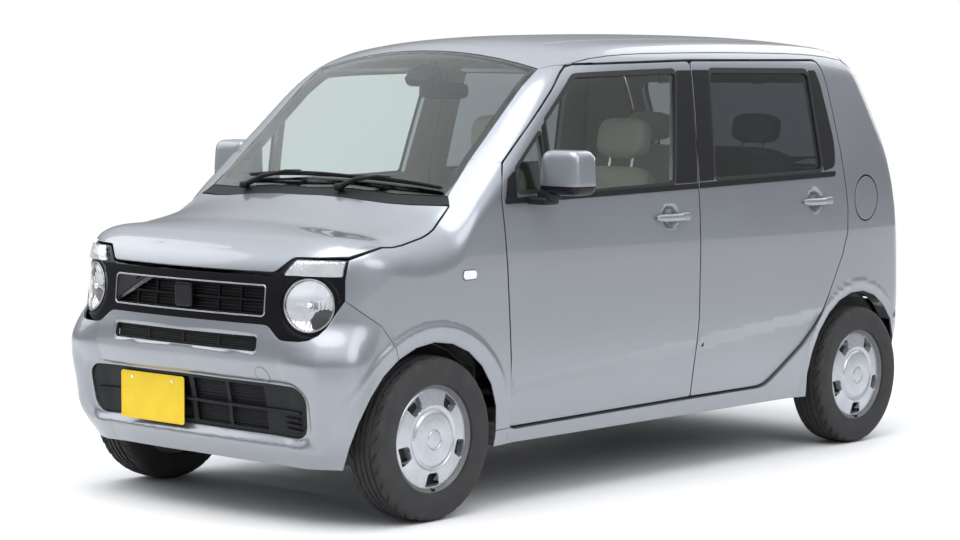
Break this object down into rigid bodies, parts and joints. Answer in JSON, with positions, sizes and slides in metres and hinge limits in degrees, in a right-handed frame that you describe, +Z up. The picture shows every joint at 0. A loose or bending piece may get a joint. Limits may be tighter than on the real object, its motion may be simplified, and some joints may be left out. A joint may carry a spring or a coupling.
{
  "type": "kei car",
  "caption": "Small tall five-door hatchback with hinged doors, bonnet and tailgate, steered and turning wheels, a hollow cabin with seats, and blank plates.",
  "frame": {"origin": "on the ground, in the middle of the length and of the width", "axes": "+Z up, the nose towards -Y, the car's left towards +X"},
  "size_m": [1.8444, 3.3935, 1.6544],
  "materials": {
    "body_paint": "metallic, gloss clear coat",
    "black_plastic": "grained, matt",
    "black_gloss": "gloss",
    "chrome": "polished",
    "clear_glass": "polished, light green tint",
    "dark_glass": "polished, dark tint",
    "clear_lens": "polished, clear",
    "red_lens": "polished, red",
    "trim": "fine grain, matt",
    "floor_steel": "matt primer",
    "steel": "dark, painted",
    "iron": "as cast",
    "cloth": "woven, beige",
    "tyre": "matt rubber",
    "wheel_cover": "silver, satin gloss"
  },
  "bodies": {
    "chassis": {"body_side_left": "body_paint", "body_side_right": "body_paint", "roof": "body_paint", "front_fender_left": "body_paint", "front_fender_right": "body_paint", "front_bumper": "body_paint", "rear_bumper": "body_paint", "cowl": "black_plastic", "lower_grille": "black_plastic", "fuel_tank": "black_plastic", "grille_mask": "black_gloss", "grille": "chrome", "windscreen": "clear_glass", "headlamp_left": "clear_lens", "headlamp_right": "clear_lens", "tail_lamp_left": "red_lens", "tail_lamp_right": "red_lens", "dashboard": "trim", "floor_pan": "floor_steel", "front_structure": "steel", "front_subframe": "steel", "rear_axle": "steel", "exhaust": "steel", "engine_block": "iron", "seat_front_left": "cloth", "seat_front_right": "cloth", "seat_rear": "cloth"},
    "bonnet": {"bonnet": "body_paint"},
    "tailgate": {"tailgate": "body_paint", "tailgate_glass": "dark_glass"},
    "door_front_left": {"door_front_left": "body_paint", "glass_front_left": "clear_glass", "glass_quarter_left": "clear_glass", "mirror_left": "body_paint"},
    "door_rear_left": {"door_rear_left": "body_paint", "glass_rear_left": "dark_glass"},
    "knuckle_left": {"knuckle_left": "iron"},
    "door_front_right": {"door_front_right": "body_paint", "glass_front_right": "clear_glass", "glass_quarter_right": "clear_glass", "mirror_right": "body_paint"},
    "door_rear_right": {"door_rear_right": "body_paint", "glass_rear_right": "dark_glass"},
    "knuckle_right": {"knuckle_right": "iron"},
    "wheel_front_left": {"tyre_front_left": "tyre", "wheel_front_left": "wheel_cover"},
    "wheel_front_right": {"tyre_front_right": "tyre", "wheel_front_right": "wheel_cover"},
    "wheel_rear_left": {"tyre_rear_left": "tyre", "wheel_rear_left": "wheel_cover"},
    "wheel_rear_right": {"tyre_rear_right": "tyre", "wheel_rear_right": "wheel_cover"},
    "steering_wheel": {"steering_wheel": "black_plastic"},
    "fuel_lid_left": {"fuel_lid_left": "body_paint"}
  },
  "joints": [
    {"name": "bonnet_hinge", "type": "hinge", "parent": "chassis", "child": "bonnet", "pos_m": [0, -1.005, 1.062], "axis": [-1, 0, 0], "range_deg": [0, 50]},
    {"name": "tailgate_hinge", "type": "hinge", "parent": "chassis", "child": "tailgate", "pos_m": [0, 1.24189, 1.58358], "axis": [1, 0, 0], "range_deg": [0, 80]},
    {"name": "door_front_left_hinge", "type": "hinge", "parent": "chassis", "child": "door_front_left", "pos_m": [0.7135, -0.8, 0.7], "axis": [0, 0, -1], "range_deg": [0, 68]},
    {"name": "door_rear_left_hinge", "type": "hinge", "parent": "chassis", "child": "door_rear_left", "pos_m": [0.7135, 0.272, 0.7], "axis": [0, 0, -1], "range_deg": [0, 65]},
    {"name": "door_front_right_hinge", "type": "hinge", "parent": "chassis", "child": "door_front_right", "pos_m": [-0.7135, -0.8, 0.7], "axis": [0, 0, 1], "range_deg": [0, 68]},
    {"name": "door_rear_right_hinge", "type": "hinge", "parent": "chassis", "child": "door_rear_right", "pos_m": [-0.7135, 0.272, 0.7], "axis": [0, 0, 1], "range_deg": [0, 65]},
    {"name": "fuel_lid_hinge", "type": "hinge", "parent": "chassis", "child": "fuel_lid_left", "pos_m": [0.70066, 1.24086, 0.99499], "axis": [0, 0, -1], "range_deg": [0, 80]},
    {"name": "steer_left", "type": "hinge", "parent": "chassis", "child": "knuckle_left", "pos_m": [0.5975, -1.2075, 0.2785], "axis": [0, 0, 1], "range_deg": [-35, 35]},
    {"name": "steer_right", "type": "hinge", "parent": "chassis", "child": "knuckle_right", "pos_m": [-0.5975, -1.2075, 0.2785], "axis": [0, 0, 1], "range_deg": [-35, 35]},
    {"name": "steering_column", "type": "hinge", "parent": "chassis", "child": "steering_wheel", "pos_m": [-0.33, -0.48, 0.88], "axis": [0, 0.9063, 0.4226], "range_deg": [-510, 510]},
    {"name": "spin_front_left", "type": "hinge", "parent": "knuckle_left", "child": "wheel_front_left", "pos_m": [0.6525, -1.2075, 0.2785], "axis": [1, 0, 0], "continuous": true},
    {"name": "spin_rear_left", "type": "hinge", "parent": "chassis", "child": "wheel_rear_left", "pos_m": [0.6525, 1.3125, 0.2785], "axis": [1, 0, 0], "continuous": true},
    {"name": "spin_front_right", "type": "hinge", "parent": "knuckle_right", "child": "wheel_front_right", "pos_m": [-0.6525, -1.2075, 0.2785], "axis": [1, 0, 0], "continuous": true},
    {"name": "spin_rear_right", "type": "hinge", "parent": "chassis", "child": "wheel_rear_right", "pos_m": [-0.6525, 1.3125, 0.2785], "axis": [1, 0, 0], "continuous": true}
  ],
  "couplings": [
    {"joint": "steer_right", "follows": "steer_left", "ratio": 1},
    {"joint": "steering_column", "follows": "steer_left", "ratio": 14.5}
  ]
}
